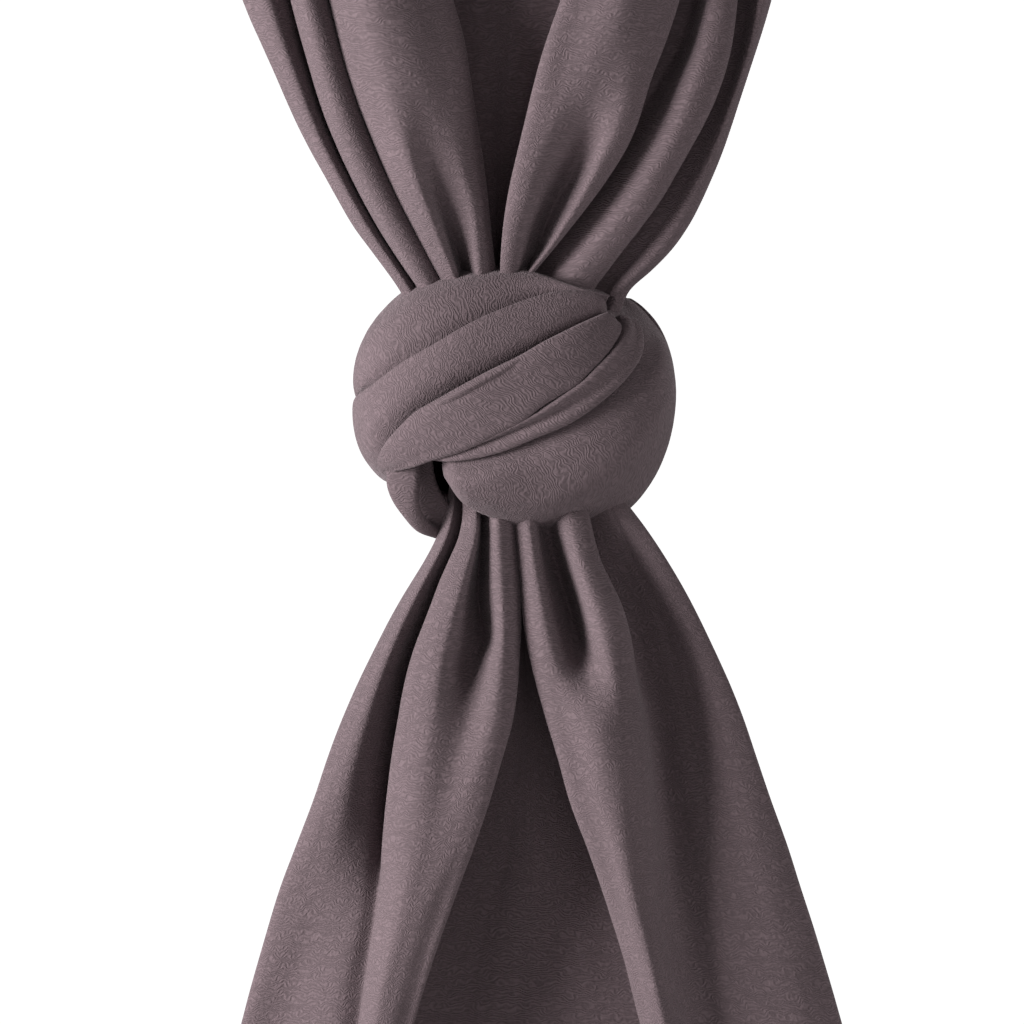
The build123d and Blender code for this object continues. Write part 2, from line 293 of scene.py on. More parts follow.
# ---------------------------------------------------------------- upper drape
LINES = {
    "OL": [(244, 0), (259, 35), (278, 77), (297, 124), (313, 155), (336, 193), (355, 228), (378, 255), (400, 288)],
    "UL1": [(291, 0), (303, 46), (319, 97), (336, 143), (355, 182), (375, 220), (394, 251), (413, 280)],
    "UL2": [(330, 0), (340, 42), (355, 93), (375, 147), (394, 190), (413, 228), (437, 273)],
    "PR2": [(452, 0), (464, 39), (473, 97), (481, 147), (487, 186), (491, 224), (495, 267)],
    "PL3": [(562, 0), (549, 39), (535, 89), (522, 143), (514, 174), (506, 209), (501, 247), (500, 271)],
    "UR1": [(678, 0), (665, 42), (649, 81), (640, 112), (630, 139), (618, 160), (599, 190), (580, 216),
            (560, 240), (545, 259), (531, 275)],
    "UR2": [(736, 0), (732, 39), (719, 89), (700, 131), (680, 166), (661, 201), (641, 228), (622, 251), (607, 271)],
    "OR": [(771, 0), (759, 42), (738, 104), (721, 155), (707, 190), (688, 228), (665, 259), (645, 276), (624, 294)],
}


SMOOTH = {}


def line(name, v):
    """One drawn line, evened out so that it runs in one sweep."""
    if name not in SMOOTH:
        pts = np.array(LINES[name], float)
        wide = {"LO": 26, "RO": 28, "OL": 16, "OR": 16}.get(name, 12)
        vv = np.arange(pts[0, 1] - 120, pts[-1, 1] + 121, 1.0)
        raw = cubic(pts[:, 1], pts[:, 0], vv)
        ker = np.exp(-0.5 * (np.arange(-3 * wide, 3 * wide + 1) / wide) ** 2)
        ker /= ker.sum()
        SMOOTH[name] = (vv[3 * wide:-3 * wide], np.convolve(raw, ker, "valid"))
    vv, xx = SMOOTH[name]
    v = np.atleast_1d(np.asarray(v, float))
    out = np.interp(v, vv, xx)
    lo, hi = (xx[10] - xx[0]) / 10, (xx[-1] - xx[-11]) / 10
    return out + np.where(v < vv[0], (v - vv[0]) * lo, 0) + np.where(v > vv[-1], (v - vv[-1]) * hi, 0)


def ramp(v, v0, v1):
    t = np.clip((np.asarray(v, float) - v0) / (v1 - v0), 0, 1)
    return t * t * (3 - 2 * t)


YK = np.array([-300, -150, 0, 100, 200, 270, 345], float)
V = np.array([0, 25, 50, 75, 100, 125, 150, 175, 200, 225, 250, 270, 288], float)


def fr(a, b, f, off=0.0):
    return lambda v: line(a, v) * (1 - f) + line(b, v) * f + off


def track(top, pts, v_from, v_to):
    """Follows top(v) and turns into the drawn points between v_from and v_to."""
    pts = np.array(pts, float)

    def f(v):
        w = ramp(v, v_from, v_to)
        return top(v) * (1 - w) + cubic(pts[:, 1], pts[:, 0], v) * w
    return f


UP = [
    (fr("OL", "OL", 0, 17), [-14, -12, -8, -7, -6, -4, 0]),
    (fr("OL", "OL", 0, 0), [-17, -20, -21, -19, -16, -11, -4]),
    (fr("OL", "UL1", .50), [-25, -31, -33, -30, -25, -18, -9]),
    (fr("UL1", "UL1", 0, -3), [-20, -22, -22, -20, -17, -12, -8]),
    (fr("UL1", "UL1", 0, 9), [-14, -14, -11, -9, -8, -6, -4]),
    (fr("UL1", "UL1", 0, 0), [-21, -27, -30, -28, -23, -16, -9]),
    (fr("UL1", "UL2", .36), [-30, -40, -43, -40, -33, -22, -13]),
    (fr("UL1", "UL2", .82), [-25, -36, -39, -37, -31, -20, -11]),
    (fr("UL2", "UL2", 0, 10), [-15, -14, -11, -9, -8, -6, -4]),
    (fr("UL2", "UL2", 0, 0), [-22, -32, -37, -35, -29, -19, -11]),
    (fr("UL2", "PR2", .28), [-31, -51, -57, -53, -42, -26, -14]),
    (track(fr("UL2", "PR2", .58), [(429, 174), (437, 201), (452, 236), (461, 269)], 90, 185),
     [-28, -47, -55, -50, -30, -8, -5]),
    (track(fr("UL2", "PR2", .84), [(464, 174), (472, 201), (476, 236), (479, 269)], 90, 185),
     [-21, -36, -43, -42, -36, -25, -14]),
    (fr("PR2", "PR2", 0, 0), [-16, -24, -27, -26, -23, -17, -10]),
    (fr("PR2", "PR2", 0, -14), [-14, -13, -9, -7, -5, -3, -2]),
    (fr("PR2", "PL3", .30), [-14, -10, -5, -3, -2, -1, 0]),
    (fr("PR2", "PL3", .60), [-17, -13, -8, -5, -2, -1, 0]),
    (fr("PL3", "PL3", 0, 14), [-14, -13, -9, -7, -5, -3, -2]),
    (fr("PL3", "PL3", 0, 0), [-18, -38, -48, -47, -38, -25, -12]),
    (track(fr("PL3", "UR1", .24), [(540, 150), (531, 190), (520, 225), (513, 268)], 90, 185),
     [-27, -46, -52, -49, -39, -25, -13]),
    (track(fr("PL3", "UR1", .54), [(588, 130), (574, 168), (559, 193), (547, 220), (537, 247), (525, 273)], 70, 150),
     [-28, -51, -57, -46, -15, -6, -4]),
    (track(fr("PL3", "UR1", .84), [(616, 130), (601, 160), (584, 193), (567, 220), (550, 247), (533, 268)], 70, 150),
     [-22, -42, -47, -46, -36, -23, -12]),
    (fr("UR1", "UR1", 0, 0), [-18, -32, -37, -38, -30, -18, -10]),
    (fr("UR1", "UR1", 0, -12), [-14, -18, -19, -19, -14, -7, -5]),
    (lambda v: line("UR1", v) + 16 - 20 * ramp(v, 40, 150), [-14, -13, -10, -13, -11, -6, -4]),
    (fr("UR1", "UR2", .60), [-25, -34, -37, -38, -32, -22, -12]),
    (fr("UR2", "UR2", 0, 0), [-20, -28, -31, -30, -25, -16, -9]),
    (fr("UR2", "UR2", 0, -9), [-15, -14, -11, -10, -9, -6, -4]),
    (fr("UR2", "OR", .35), [-18, -17, -15, -14, -13, -9, -5]),
    (fr("UR2", "OR", .72), [-22, -25, -26, -23, -19, -13, -6]),
    (fr("OR", "OR", 0, 0), [-16, -16, -15, -14, -12, -8, -3]),
    (fr("OR", "OR", 0, -16), [-14, -11, -6, -5, -5, -3, 0]),
]
K = len(UP)
rod_x = np.linspace(-164, 158, K)
rod_x[0], rod_x[-1] = -158, 152


def front_columns():
    """Control points of the outer front layer: z levels by columns by (x, y, z)."""
    vs = np.array([-300, -225, -150, -75, *V, 312, 345], float)
    P = np.zeros((len(vs), K, 3))
    yk = np.array([c[1] for c in UP], float)          # K, keys
    for k, (fx, _) in enumerate(UP):
        xv = gx(fx(V))
        slope = (xv[0] - xv[3]) / 37.5                 # mm per mm at the first levels
        x_up = xv[0] + slope * 75 * 0.62
        xs = [rod_x[k], None, 0.35 * rod_x[k] + 0.65 * x_up, None]
        keys_v = [-300, -150, 0, 25, 50]
        keys_x = [xs[0], xs[2], xv[0], xv[1], xv[2]]
        up = cubic(keys_v, keys_x, vs[:4])
        end = xv[-1]
        inside = [end * 0.90, end * 0.62]
        P[:, k, 0] = np.concatenate([up, xv, inside])
    P[:, :, 1] = cubic(YK, yk.T, vs)
    P[:, :, 2] = gz(vs)[:, None]
    return vs, P


vs_f, CF = front_columns()
z_rows = np.concatenate([np.linspace(-322, -291, 18), np.linspace(-290, -40, 210), np.linspace(-38.8, 0, 26)])
v_rows = (-150 - z_rows) * 2
order = np.argsort(v_rows)
CFd = cubic(vs_f, CF.reshape(len(vs_f), -1), v_rows[order]).reshape(-1, K, 3)[::-1]   # bottom to top
CFd = CFd[np.argsort(CFd[:, 0, 2])]

# back half of the same outer layer: its own pleats, same cloth over the rod
kk = np.arange(K)
pat = np.sin(2 * np.pi * (kk + 0.6 * np.sin(kk * 1.7)) / 4.7 + 0.8)
pat_x = np.cos(2 * np.pi * (kk + 0.6 * np.sin(kk * 1.7)) / 4.7 + 0.8)
edge = np.clip(np.minimum(kk, K - 1 - kk) / 2.0, 0, 1)
rod_y = -np.array([c[1][0] for c in UP], float)
vs_b = np.array([-300, -150, 0, 100, 200, 270, 345], float)
out_l = np.array([rod_x[1], -148, -132, -107, -78, -54, -34])
out_r = np.array([rod_x[-2], 144, 124.5, 107, 83, 58, 34])
base_y = np.array([0, 24, 29, 27, 22, 14, 6.5])
amp_y = np.array([0, 9.5, 13.5, 14, 12, 8.5, 4.5])
amp_x = np.array([0, 4, 7, 7, 5.5, 3.5, 1.5])
CB = np.zeros((len(vs_b), K, 3))
frac = np.clip((kk - 1) / (K - 3), 0, 1)
for i, v in enumerate(vs_b):
    if i == 0:
        CB[i, :, 0], CB[i, :, 1] = rod_x, rod_y
    else:
        CB[i, :, 0] = out_l[i] + (out_r[i] - out_l[i]) * frac + amp_x[i] * pat_x * edge
        CB[i, :, 1] = (base_y[i] + amp_y[i] * pat) * (0.45 + 0.55 * edge) - 3 * (1 - edge)
        CB[i, 0, 0] += 9
        CB[i, -1, 0] -= 9
        CB[i, [0, -1], 1] = [base_y[i] * 0.28, base_y[i] * 0.24]
    CB[i, :, 2] = gz(v)
CBd = cubic(vs_b, CB.reshape(len(vs_b), -1), v_rows[order]).reshape(-1, K, 3)
CBd = CBd[np.argsort(-CBd[:, 0, 2])]      # top to bottom
phis = np.linspace(0, np.pi, 30)[1:-1]
arc = np.stack([np.stack([rod_x, -rod_y * np.cos(p), rod_y * np.sin(p)], axis=1) for p in phis])
ROWS = np.concatenate([CFd, arc, CBd])
outer = through(ROWS, 10)
# unevenness of real cloth: slow drape waves and small tension folds near the knot
uv = uv_of(outer)
N = grid_normals(outer)
zz = outer[:, :, 2]
near = np.exp(-((zz + 287) / 45.0) ** 2)
w = (0.55 * noise2(uv[..., 0] * 60, uv[..., 1] * 9 + 3, 11) + 0.35 * noise2(uv[..., 0] * 120 + uv[..., 1] * 20, uv[..., 1] * 26, 12)
     + near * 0.5 * noise2(uv[..., 0] * 190, uv[..., 1] * 14, 13))
outer = smooth_grid(outer + N * w[..., None], 1)
N_outer = grid_normals(outer)
uv_outer = uv_of(outer)

# where the sheet is cut into pieces
zf = outer[:, :, 2].mean(axis=1)
nf = len(CFd)
cut_f = int(np.argmin(np.abs(zf[:nf] + 62)))
cut_b = nf + len(phis) + int(np.argmin(np.abs(zf[nf + len(phis):] + 62)))
fold_cloth = cloth("outer_fold_cloth", outer, 0.9, (cut_f, cut_b + 1), (True, True), N_outer, uv_outer)
front_cloth = cloth("upper_front_cloth", outer, 0.9, (0, cut_f + 1), (True, True), N_outer, uv_outer)
back_cloth = cloth("upper_back_cloth", outer, 0.9, (cut_b, len(outer)), (True, True), N_outer, uv_outer)

# inner pass: smoother, close inside the outer one
Ki = 19
ki = np.arange(Ki)
ip = np.sin(2 * np.pi * ki / 3.9 + 0.3)
fi = ki / (Ki - 1)
vs_i = np.array([-300, -150, 0, 100, 200, 270, 345], float)
li = np.array([-152, -138, -122, -98, -70, -46, -28])
ri = np.array([147, 134, 115, 98, 76, 50, 28])
yi = np.array([13.2, 10.2, 2.6, 1.7, 1.2, 0.9, 0.7])
ai = np.array([0.0, 0.6, 0.8, 0.6, 0.4, 0.3, 0.1])


def inner_half(sign):
    C = np.zeros((len(vs_i), Ki, 3))
    for i, v in enumerate(vs_i):
        C[i, :, 0] = li[i] + (ri[i] - li[i]) * fi
        C[i, :, 1] = sign * (yi[i] + ai[i] * ip)
        C[i, :, 2] = gz(v)
    vr = np.linspace(-300, 345, 120)
    return cubic(vs_i, C.reshape(len(vs_i), -1), vr).reshape(-1, Ki, 3)


Fi, Bi = inner_half(-1)[::-1], inner_half(1)
arc_i = np.stack([np.stack([Fi[-1, :, 0], -13.3 * np.cos(p) * np.ones(Ki), 13.3 * np.sin(p) * np.ones(Ki)], axis=1)
                  for p in np.linspace(0, np.pi, 20)[1:-1]])
inner = through(np.concatenate([Fi, arc_i, Bi]), 6)
N_in, uv_in = grid_normals(inner), uv_of(inner)
zi = inner[:, :, 2].mean(axis=1)
nfi = len(Fi)
cf = int(np.argmin(np.abs(zi[:nfi] + 62)))
cb = nfi + len(arc_i) + int(np.argmin(np.abs(zi[nfi + len(arc_i):] + 62)))
in_fold = cloth("inner_fold_cloth", inner, 0.8, (cf, cb + 1), (True, True), N_in, uv_in)
in_front = cloth("upper_inner_front_cloth", inner, 0.8, (0, cf + 1), (True, True), N_in, uv_in)
in_back = cloth("upper_inner_back_cloth", inner, 0.8, (cb, len(inner)), (True, True), N_in, uv_in)

for ob in (fold_cloth, in_fold, front_cloth, back_cloth, in_front, in_back):
    dress(ob, wrap_mat)
for ob in (fold_cloth, in_fold):
    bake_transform(ob)
for ob in (front_cloth, back_cloth, in_front, in_back):
    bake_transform(ob)
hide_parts("outer_top_fold")
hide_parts("inner_top_fold")
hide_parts("upper_left_drape", "upper_right_drape")
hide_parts("upper_back_drape")

# ---------------------------------------------------------------- tails
TL = {
    "LO": [(452, 470), (446, 520), (440, 538), (416, 577), (399, 602), (378, 645), (359, 683), (339, 730), (318, 790),
           (297, 850), (280, 892), (263, 948), (246, 1012), (212, 1150), (184, 1280), (163, 1380)],
    "LL1": [(462, 470), (457, 547), (446, 568), (433, 602), (416, 645), (406, 683), (399, 722), (393, 756), (388, 799),
            (384, 841), (382, 884), (376, 927), (369, 969), (361, 1020), (350, 1150), (338, 1380)],
    "RC1": [(510, 470), (514, 521), (521, 585), (521, 636), (518, 671), (514, 713), (502, 756), (489, 799),
            (476, 841), (459, 884), (444, 927), (429, 969), (414, 1020), (396, 1100), (374, 1250), (362, 1380)],
    "LC2": [(512, 470), (514, 526), (521, 585), (525, 628), (536, 679), (548, 722), (561, 764), (574, 811),
            (591, 854), (604, 892), (615, 927), (627, 969), (640, 1020), (660, 1100), (690, 1250), (706, 1380)],
    "RB2": [(580, 470), (591, 526), (600, 564), (617, 598), (627, 632), (632, 671), (636, 713), (640, 756),
            (647, 820), (655, 871), (664, 927), (679, 991), (694, 1060), (728, 1250), (748, 1380)],
    "RO": [(600, 470), (627, 500), (640, 520), (659, 547), (681, 581), (698, 615), (715, 654), (732, 688), (749, 735),
           (770, 799), (787, 841), (802, 892), (822, 952), (841, 1020), (880, 1150), (908, 1270), (930, 1380)],
}
LINES.update(TL)
TK = np.array([470, 520, 560, 620, 700, 800, 900, 1020, 1200, 1380], float)
DOWN = [
    (fr("LO", "LO", 0, 18), [-2, -4, -5, -6, -6, -6, -6, -6, -6, -6]),
    (fr("LO", "LO", 0, 0), [-6, -9, -11, -15, -20, -24, -25, -26, -26, -26]),
    (fr("LO", "LL1", .40), [-9, -19, -24, -29, -32, -33, -31, -30, -30, -30]),
    (fr("LO", "LL1", .80), [-8, -12, -14, -15, -16, -20, -34, -39, -39, -38]),
    (lambda v: line("LL1", v) + 8 - 11 * ramp(v, 760, 900), [-6, -7, -6, -5, -4, -8, -32, -38, -38, -37]),
    (fr("LL1", "LL1", 0, 0), [-11, -20, -26, -32, -37, -41, -40, -39, -39, -38]),
    (fr("LL1", "RC1", .28), [-12, -26, -33, -41, -49, -54, -56, -57, -56, -54]),
    (track(fr("LL1", "RC1", .58), [(480, 470), (480, 543), (478, 600), (482, 640), (466, 672), (452, 700)], 700, 640),
     [-5, -7, -7, -11, -39, -53, -57, -57, -56, -54]),
    (track(fr("LL1", "RC1", .84), [(497, 470), (498, 543), (501, 600), (502, 640), (497, 680), (490, 720)], 720, 640),
     [-13, -28, -34, -41, -49, -54, -55, -54, -53, -51]),
    (fr("RC1", "RC1", 0, 0), [-11, -19, -23, -29, -40, -50, -53, -53, -51, -48]),
    (fr("RC1", "RC1", 0, -15), [-4, -7, -7, -7, -7, -7, -7, -8, -10, -12]),
    (fr("RC1", "LC2", .18), [-3, -5, -4, -4, -4, -3.5, -3.5, -4, -5, -6]),
    (fr("RC1", "LC2", .42), [-3, -5, -4, -4, -4, -4.5, -7, -10, -13, -14]),
    (fr("RC1", "LC2", .75), [-3, -5, -4, -4, -4, -3.5, -4, -5, -7, -8]),
    (fr("LC2", "LC2", 0, 15), [-4, -7, -7, -7, -7, -7, -7, -8, -10, -12]),
    (fr("LC2", "LC2", 0, 0), [-11, -19, -24, -31, -39, -43, -43, -42, -41, -39]),
    (track(fr("LC2", "RB2", .22), [(527, 470), (530, 530), (534, 560), (541, 600), (551, 650), (564, 700)], 700, 640),
     [-12, -26, -32, -39, -45, -48, -49, -49, -48, -46]),
    (track(fr("LC2", "RB2", .52), [(543, 470), (548, 530), (556, 564), (567, 600), (577, 640), (590, 700)], 700, 640),
     [-5, -9, -7, -12, -49, -54, -55, -54, -52, -50]),
    (track(fr("LC2", "RB2", .82), [(565, 470), (571, 530), (580, 564), (592, 600), (606, 650), (613, 700)], 700, 640),
     [-12, -26, -34, -43, -49, -50, -48, -44, -42, -41]),
    (fr("RB2", "RB2", 0, 0), [-10, -20, -27, -35, -38, -38, -37, -37, -37, -37]),
    (lambda v: line("RB2", v) - 8 + 26 * ramp(v, 570, 760), [-7, -8, -7, -5, -5, -12, -24, -32, -35, -34]),
    (fr("RB2", "RO", .46), [-8, -11, -8, -7, -9, -17, -27, -33, -35, -35]),
    (fr("RB2", "RO", .80), [-7, -12, -13, -15, -18, -22, -26, -28, -29, -29]),
    (fr("RO", "RO", 0, 0), [-5, -9, -10, -12, -14, -15, -16, -17, -18, -18]),
    (fr("RO", "RO", 0, -18), [-2, -4, -4, -5, -6, -6, -6, -6, -6, -6]),
]


V2 = np.array([470, 495, 520, 540, 560, 580, 600, 620, 640, 660, 690, 720, 760, 800, 850, 900, 960, 1020, 1100,
               1200, 1300, 1380], float)
KD = len(DOWN)
C2 = np.zeros((len(V2), KD, 3))
for k, (fx, ys) in enumerate(DOWN):
    C2[:, k, 0] = gx(fx(V2))
    C2[:, k, 1] = cubic(TK, ys, V2)
C2[:, :, 2] = gz(V2)[:, None]
v_t = np.concatenate([np.linspace(470, 760, 190), np.linspace(761.5, 1380, 250)])
CT = cubic(V2, C2.reshape(len(V2), -1), v_t).reshape(-1, KD, 3)
# the hem line rises a little on the ridges
fall = ramp(v_t, 900, 1380)[:, None]
CT[:, :, 2] += fall * (2.5 * np.sin(np.arange(KD) * 1.3 + 0.4))[None, :] + fall * 2.0
tail = through(CT, 13)
uv_t = uv_of(tail)
Nt = grid_normals(tail)
zt = tail[:, :, 2]
near = np.exp(-((zt + 412) / 40.0) ** 2)
w = (0.6 * noise2(uv_t[..., 0] * 42, uv_t[..., 1] * 8 + 5, 21) + 0.35 * noise2(uv_t[..., 0] * 90 + uv_t[..., 1] * 25, uv_t[..., 1] * 24, 22)
     + near * 0.45 * noise2(uv_t[..., 0] * 170, uv_t[..., 1] * 13, 23))
tail = smooth_grid(tail + Nt * w[..., None], 1)
tail = tail[::-1]          # bottom row first, like the upper sheet, so normals face the front
N_t, uv_tt = grid_normals(tail), uv_of(tail)
tail_cloth = cloth("front_outer_tail_cloth", tail, 0.9)

# inner tail layer
KI = 25
ki = np.arange(KI)
fi2 = ki / (KI - 1)
pi_ = np.sin(2 * np.pi * (ki + 0.5 * np.sin(ki * 1.3)) / 4.3)
vi = np.array([470, 520, 600, 700, 850, 1020, 1200, 1380], float)
yb = np.array([-1, -1.4, -1.0, -0.9, -0.9, -1.2, -1.6, -1.8])
ya = np.array([.2, .3, .4, .5, .6, .9, 1.2, 1.4])
CI = np.zeros((len(vi), KI, 3))
for i, v in enumerate(vi):
    l, r = float(gx(line("LO", v))[0]) + 12, float(gx(line("RO", v))[0]) - 12
    CI[i, :, 0] = l + (r - l) * fi2
    CI[i, :, 1] = yb[i] + ya[i] * pi_
    CI[i, :, 2] = gz(v) + (2.5 if v > 1300 else 0)
itail = through(cubic(vi, CI.reshape(len(vi), -1), np.linspace(470, 1380, 230)).reshape(-1, KI, 3), 6)[::-1]
inner_tail_cloth = cloth("front_inner_tail_cloth", itail, 0.8)

# back tail: down the outside, round the bottom fold, up the inside
KB = 27
kb = np.arange(KB)
fb = kb / (KB - 1)
pb = np.sin(2 * np.pi * (kb + 0.7 * np.sin(kb * 0.9 + 1)) / 5.1 + 1.1)
pbx = np.cos(2 * np.pi * (kb + 0.7 * np.sin(kb * 0.9 + 1)) / 5.1 + 1.1)
eb = np.clip(np.minimum(kb, KB - 1 - kb) / 1.5, 0, 1)
vb = np.array([470, 520, 570, 640, 740, 860, 1000, 1180, 1345], float)
yo = np.array([7, 12, 18, 24, 28, 31, 32, 33, 33])
ao = np.array([3, 6, 8, 9.5, 10, 10, 10, 9.5, 9])
ax_ = np.array([1.5, 3, 4, 5, 6, 7, 7, 7, 6])


def back_half(outside):
    C = np.zeros((len(vb), KB, 3))
    for i, v in enumerate(vb):
        l, r = float(gx(line("LO", v))[0]) + 5, float(gx(line("RO", v))[0]) - 5
        if outside:
            C[i, :, 0] = l + (r - l) * fb + ax_[i] * pbx * eb
            C[i, :, 1] = 5 + (yo[i] - 5 + ao[i] * pb) * (0.35 + 0.65 * eb)
        else:
            C[i, :, 0] = l + 2 + (r - l - 4) * fb
            C[i, :, 1] = 3.2 + min(i, 4) * 0.8 + 1.0 * pb * min(i, 3) / 3
        C[i, :, 2] = gz(v)
    return cubic(vb, C.reshape(len(vb), -1), np.linspace(470, 1345, 230)).reshape(-1, KB, 3)


Bo, Bn = back_half(True), back_half(False)
last_o, last_i = Bo[-1], Bn[-1]
mid = (last_o + last_i) / 2
half = (last_o - last_i) / 2
turn = []
for p in np.linspace(0, np.pi, 26)[1:-1]:
    c = mid + half * math.cos(p)
    c = c.copy()
    c[:, 2] = last_o[:, 2] - np.minimum(np.abs(half[:, 1]), 14) * 0.95 * math.sin(p)
    turn.append(c)
btail = through(np.concatenate([Bo, np.stack(turn), Bn[::-1]]), 8)
uvb = uv_of(btail)
Nb = grid_normals(btail)
w = 0.6 * noise2(uvb[..., 0] * 42, uvb[..., 1] * 8 + 5, 31) + 0.3 * noise2(uvb[..., 0] * 90 + uvb[..., 1] * 25, uvb[..., 1] * 24, 32)
btail = smooth_grid(btail + Nb * w[..., None], 2)
back_tail_cloth = cloth("back_tail_cloth", btail, 0.9)

for ob in (tail_cloth, inner_tail_cloth, back_tail_cloth):
    dress(ob, wrap_mat)
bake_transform(tail_cloth)
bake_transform(inner_tail_cloth)
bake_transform(back_tail_cloth)
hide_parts("front_outer_tail_left", "front_outer_tail_right")
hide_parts("front_inner_tail")
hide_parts("back_tail", "back_tail_bottom_fold")


# ---------------------------------------------------------------- hems
def rows_within(P, dist):
    """Number of first rows within a distance of the first row, along the cloth."""
    along = np.linalg.norm(np.diff(P, axis=0), axis=2).mean(axis=1)
    return int(np.searchsorted(np.cumsum(along), dist)) + 2


def cols_within(P, dist, last=False):
    across = np.linalg.norm(np.diff(P, axis=1), axis=2).mean(axis=0)
    if last:
        across = across[::-1]
    return int(np.searchsorted(np.cumsum(across), dist)) + 2


def end_hem(name, P, t):
    n = rows_within(P, 12)
    ob = cloth(name, P[:n], t)
    return dress(ob, hem_mat), n


def side_band(name, P, last, t, a=0, b=None):
    n = cols_within(P, 8, last)
    Q = P[a:b]
    Q = Q[:, -n:] if last else Q[:, :n]
    return dress(cloth(name, Q, t), hem_mat)


def stitches(name, path, normals, pitch=3.4, length=2.4, radius=0.32):
    """A running seam along a path on the cloth: one small spindle for each stitch."""
    seg = np.linalg.norm(np.diff(path, axis=0), axis=1)
    s = np.concatenate([[0], np.cumsum(seg)])
    at = np.arange(2, s[-1] - 3, pitch)
    verts, faces = [], []
    for a in at:
        tt = a + np.array([0, 0.25, 0.75, 1.0]) * length
        p = np.stack([np.interp(tt, s, path[:, j]) for j in range(3)], axis=1)
        nrm = np.array([np.interp(a, s, normals[:, j]) for j in range(3)])
        nrm /= np.linalg.norm(nrm)
        d = p[-1] - p[0]
        d /= np.linalg.norm(d)
        side = np.cross(d, nrm)
        lift = np.array([-0.15, 0.22, 0.22, -0.15])
        rr = np.array([0.12, radius, radius, 0.12])
        base = len(verts)
        for j in range(4):
            for q in range(6):
                an = q * math.pi / 3
                verts.append((p[j] + nrm * (lift[j] + rr[j] * 0.7 * math.sin(an)) + side * rr[j] * math.cos(an)) / 1000)
        for j in range(3):
            for q in range(6):
                faces.append((base + j * 6 + q, base + j * 6 + (q + 1) % 6, base + (j + 1) * 6 + (q + 1) % 6, base + (j + 1) * 6 + q))
        faces.append(tuple(base + q for q in range(5, -1, -1)))
        faces.append(tuple(base + 18 + q for q in range(6)))
    ob = new_mesh(name, verts, faces, np.zeros((len(verts), 2)))
    return dress(ob, thread_mat)


hem1, n1 = end_hem("front_outer_end_hem_cloth", tail, 2.5)
hem2, n2 = end_hem("front_inner_end_hem_cloth", itail, 2.3)
N_t = grid_normals(tail)
N_i = grid_normals(itail)
r1 = rows_within(tail, 10) - 2
r2 = rows_within(itail, 10) - 2
seam1 = stitches("front_outer_hem_stitches", tail[r1] + N_t[r1] * 1.3, N_t[r1])
seam2 = stitches("front_inner_hem_stitches", itail[r2] - N_i[r2] * 1.2, -N_i[r2])
side_top = int(np.argmin(np.abs(tail[:, 0, 2] + 470)))
left_hem = side_band("front_left_side_hem_cloth", tail, False, 2.1, n1, side_top)
right_hem = side_band("front_right_side_hem_cloth", tail, True, 2.1, n1, side_top)
for ob in (hem1, hem2, seam1, seam2, left_hem, right_hem):
    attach(ob, "front_tails")
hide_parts("front_outer_end_hem")
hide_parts("front_inner_end_hem")
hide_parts("front_outer_hem_stitching")
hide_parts("front_inner_hem_stitching")
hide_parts("front_left_side_hem")
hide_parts("front_right_side_hem")

# ---------------------------------------------------------------- knot
KA, KBB, KC = 76.3, 50.0, 62.8
PS = 2.6       # squareness of the outline
MS = 2.3       # squareness of the depth
LEAN = 0.055   # the knot stands forward on its left


def to_q(pts):
    """Grid points to the knot's own unrolled chart, where length 1 is the outline and more is round the back."""
    p = np.asarray(pts, float)
    x, z = gx(p[:, 0]) / KA, (gz(p[:, 1]) + 350) / KC
    r = (np.abs(x) ** PS + np.abs(z) ** PS) ** (1 / PS)
    r = np.maximum(r, 1e-6)
    rho = np.where(r <= 1, 2 / np.pi * np.arcsin(np.clip(r, 0, 1) ** (MS / 2)), 1 + (r - 1) * 1.6)
    return np.stack([x / r * rho, z / r * rho], axis=1)


def from_q(q, back=False):
    x, z = q[..., 0], q[..., 1]
    rho = np.maximum((np.abs(x) ** PS + np.abs(z) ** PS) ** (1 / PS), 1e-9)
    t = np.clip(rho, 0, 1.95) * np.pi / 2
    r = np.abs(np.sin(t)) ** (2 / MS)
    c = np.cos(t)
    y = -np.sign(c) * np.abs(c) ** (2 / MS)
    X, Z = x / rho * r * KA, z / rho * r * KC
    Y = y * KBB
    rm = np.maximum(r, 1e-3) ** (MS - PS)
    nrm = np.stack([rm * np.sign(X) * np.abs(X / KA) ** (PS - 1) / KA, np.sign(Y) * np.abs(Y / KBB) ** (MS - 1) / KBB,
                    rm * np.sign(Z) * np.abs(Z / KC) ** (PS - 1) / KC], axis=-1)
    nrm /= np.linalg.norm(nrm, axis=-1, keepdims=True)
    if back:
        Y = -Y
        nrm = nrm * np.array([1, -1, 1])
    nrm = nrm + LEAN * nrm[..., 1:2] * np.array([-1, 0, 0])
    nrm /= np.linalg.norm(nrm, axis=-1, keepdims=True)
    return np.stack([X, Y + LEAN * X, Z - 350], axis=-1), nrm


def curve_q(pts, n):
    q = to_q(pts)
    seg = np.linalg.norm(np.diff(q, axis=0), axis=1) ** 0.5
    s = np.concatenate([[0], np.cumsum(seg)])
    s /= s[-1]
    dense = cubic(s, q, np.linspace(0, 1, 400))
    L = np.concatenate([[0], np.cumsum(np.linalg.norm(np.diff(dense, axis=0), axis=1))])
    L /= L[-1]
    return np.stack([np.interp(np.linspace(0, 1, n), L, dense[:, j]) for j in range(2)], axis=1)


